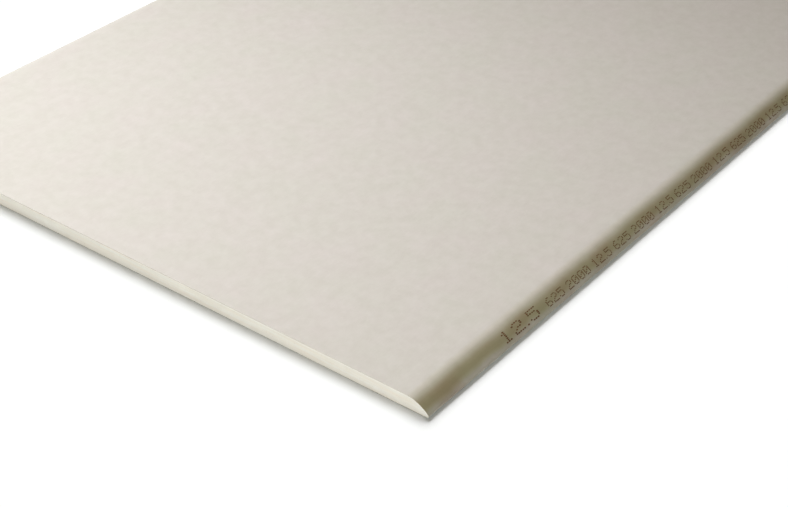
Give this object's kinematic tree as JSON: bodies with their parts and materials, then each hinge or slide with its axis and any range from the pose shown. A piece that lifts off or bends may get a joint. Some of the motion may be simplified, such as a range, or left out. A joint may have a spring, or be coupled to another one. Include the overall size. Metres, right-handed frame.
{
  "type": "drywall sheet",
  "caption": "Flat drywall sheet of gypsum faced with paper, with rounded paper-wrapped long edges and square-cut ends that show the pale core.",
  "frame": {"origin": "centre of the back of the sheet, on the surface that it lies on", "axes": "+X along the sheet's length, +Y across its width, +Z out of its face, so the sheet lies face up"},
  "size_m": [2, 0.625, 0.0125],
  "materials": {
    "gypsum": "matt, fine-grained, cut by a saw or a scored break",
    "face_paper": "matt ivory lining paper with a fine fibre mottle",
    "back_paper": "matt grey recycled paper",
    "edge_ink": "matt reddish-brown printing ink, in dots on the long edge"
  },
  "bodies": {
    "root": {"gypsum_core": "gypsum", "face_paper": "face_paper", "back_paper": "back_paper"}
  },
  "joints": []
}
